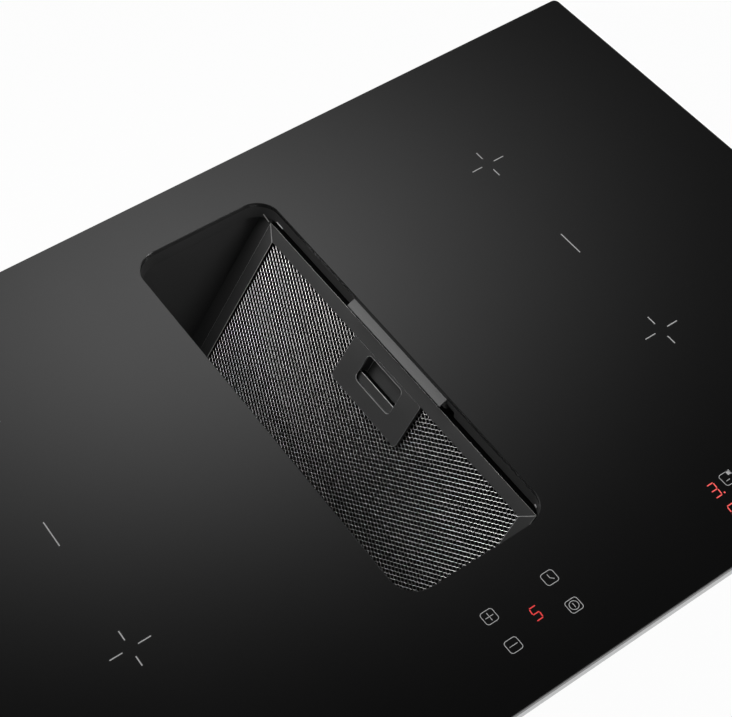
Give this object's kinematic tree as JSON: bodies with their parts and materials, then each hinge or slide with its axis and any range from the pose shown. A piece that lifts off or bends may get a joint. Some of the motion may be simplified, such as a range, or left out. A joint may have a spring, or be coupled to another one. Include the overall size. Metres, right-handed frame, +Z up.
{
  "type": "downdraft induction cooktop",
  "caption": "Built-in black glass induction hob with a central downdraft vent, sloping grease filter, blower, drip tray and flat duct outlet.",
  "frame": {"origin": "middle of the hob in the worktop's top plane, where the rim's seal rests", "axes": "+X to the user's right, +Y to the rear, +Z up out of the worktop"},
  "size_m": [0.8, 0.515, 0.218],
  "materials": {
    "black_glass": "polished black glass ceramic with soft reflections",
    "foam_seal": "closed cell foam tape",
    "collar_paint": "satin anthracite powder coat",
    "keeper_paint": "satin grey coat on bent sheet",
    "rail_paint": "satin anthracite coat with bare mitres",
    "filter_mesh": "bare expanded aluminium",
    "grip_paint": "satin anthracite coat",
    "grip_plastic": "fine grained dark grey moulding",
    "spring_steel": "bright spring wire",
    "well_plastic": "fine grained dark grey moulding",
    "tray_plastic": "smooth grey moulding",
    "scroll_plastic": "black glass filled moulding",
    "impeller_plastic": "grey moulding",
    "motor_steel": "zinc coated can",
    "shaft_steel": "ground steel",
    "screw_steel": "zinc coated",
    "duct_plastic": "light grey moulding",
    "casing_steel": "galvanised sheet",
    "sheet_aluminium": "mill finish sheet",
    "coil_copper": "enamelled copper litz",
    "coil_plastic": "heat proof moulding",
    "ferrite": "pressed ferrite",
    "mica": "pressed mica sheet",
    "sensor_ceramic": "white ceramic",
    "board_green": "green solder mask",
    "sink_aluminium": "extruded aluminium",
    "fan_plastic": "black moulding",
    "display_red": "red digit blocks",
    "terminal_plastic": "grey moulding"
  },
  "bodies": {
    "hob": {"base_casing": "casing_steel", "blower_control_box": "terminal_plastic", "blower_hanger": "casing_steel", "blower_motor": "motor_steel", "board_holder": "fan_plastic", "cable_gland": "fan_plastic", "coil_carrier_left_front": "coil_plastic", "coil_carrier_left_rear": "coil_plastic", "coil_carrier_right_front": "coil_plastic", "coil_carrier_right_rear": "coil_plastic", "coil_sensors": "sensor_ceramic", "coil_tray_left": "sheet_aluminium", "coil_tray_right": "sheet_aluminium", "coil_winding_left_front": "coil_copper", "coil_winding_left_rear": "coil_copper", "coil_winding_right_front": "coil_copper", "coil_winding_right_rear": "coil_copper", "digit_displays": "display_red", "fan_housing_left": "fan_plastic", "fan_housing_right": "fan_plastic", "ferrite_bars": "ferrite", "glass_top": "black_glass", "heat_sink_left": "sink_aluminium", "heat_sink_right": "sink_aluminium", "inlet_ring": "scroll_plastic", "intake_collar": "collar_paint", "keeper_rivets": "screw_steel", "latch_keeper": "keeper_paint", "mica_sheet_left": "mica", "mica_sheet_right": "mica", "motor_screws": "screw_steel", "outlet_duct": "duct_plastic", "power_board_left": "board_green", "power_board_right": "board_green", "scroll_cover": "scroll_plastic", "scroll_housing": "scroll_plastic", "side_spring_screws": "screw_steel", "side_springs": "spring_steel", "terminal_block": "terminal_plastic", "terminal_box": "terminal_plastic", "touch_board": "board_green", "well_housing": "well_plastic", "worktop_seal": "foam_seal"},
    "filter": {"filter_rail_upper": "rail_paint", "filter_rail_lower": "rail_paint", "filter_rail_front": "rail_paint", "filter_rail_rear": "rail_paint", "front_mesh": "filter_mesh", "mesh_pack": "filter_mesh", "back_mesh": "filter_mesh", "handle_plate": "grip_paint", "handle_cup": "grip_plastic", "latch_springs": "spring_steel"},
    "latch": {"latch_slider": "grip_plastic"},
    "blower_rotor": {"impeller": "impeller_plastic", "motor_shaft": "shaft_steel"},
    "fan_left": {"fan_rotor_left": "fan_plastic"},
    "fan_right": {"fan_rotor_right": "fan_plastic"},
    "tray": {"drip_tray": "tray_plastic"}
  },
  "joints": [
    {"name": "filter_tilt", "type": "hinge", "parent": "hob", "child": "filter", "pos_m": [-0.05187, 0.027, -0.18069], "axis": [0, -1, 0], "range_deg": [0, 33]},
    {"name": "latch_slide", "type": "slide", "parent": "filter", "child": "latch", "axis": [-0.5779, 0, -0.8161], "range_m": [0, 0.004], "stiffness_N_per_m": 400, "springref_m": -0.008, "deforming": ["latch_springs"]},
    {"name": "blower_spin", "type": "hinge", "parent": "hob", "child": "blower_rotor", "pos_m": [0.077, 0.01, -0.128], "axis": [1, 0, 0], "continuous": true},
    {"name": "fan_spin_left", "type": "hinge", "parent": "hob", "child": "fan_left", "pos_m": [-0.2275, 0.185, -0.04], "axis": [0, 0, 1], "continuous": true},
    {"name": "fan_spin_right", "type": "hinge", "parent": "hob", "child": "fan_right", "pos_m": [0.2275, 0.185, -0.04], "axis": [0, 0, 1], "continuous": true},
    {"name": "tray_slide", "type": "slide", "parent": "hob", "child": "tray", "axis": [0, -1, 0], "range_m": [0, 0.3]}
  ]
}
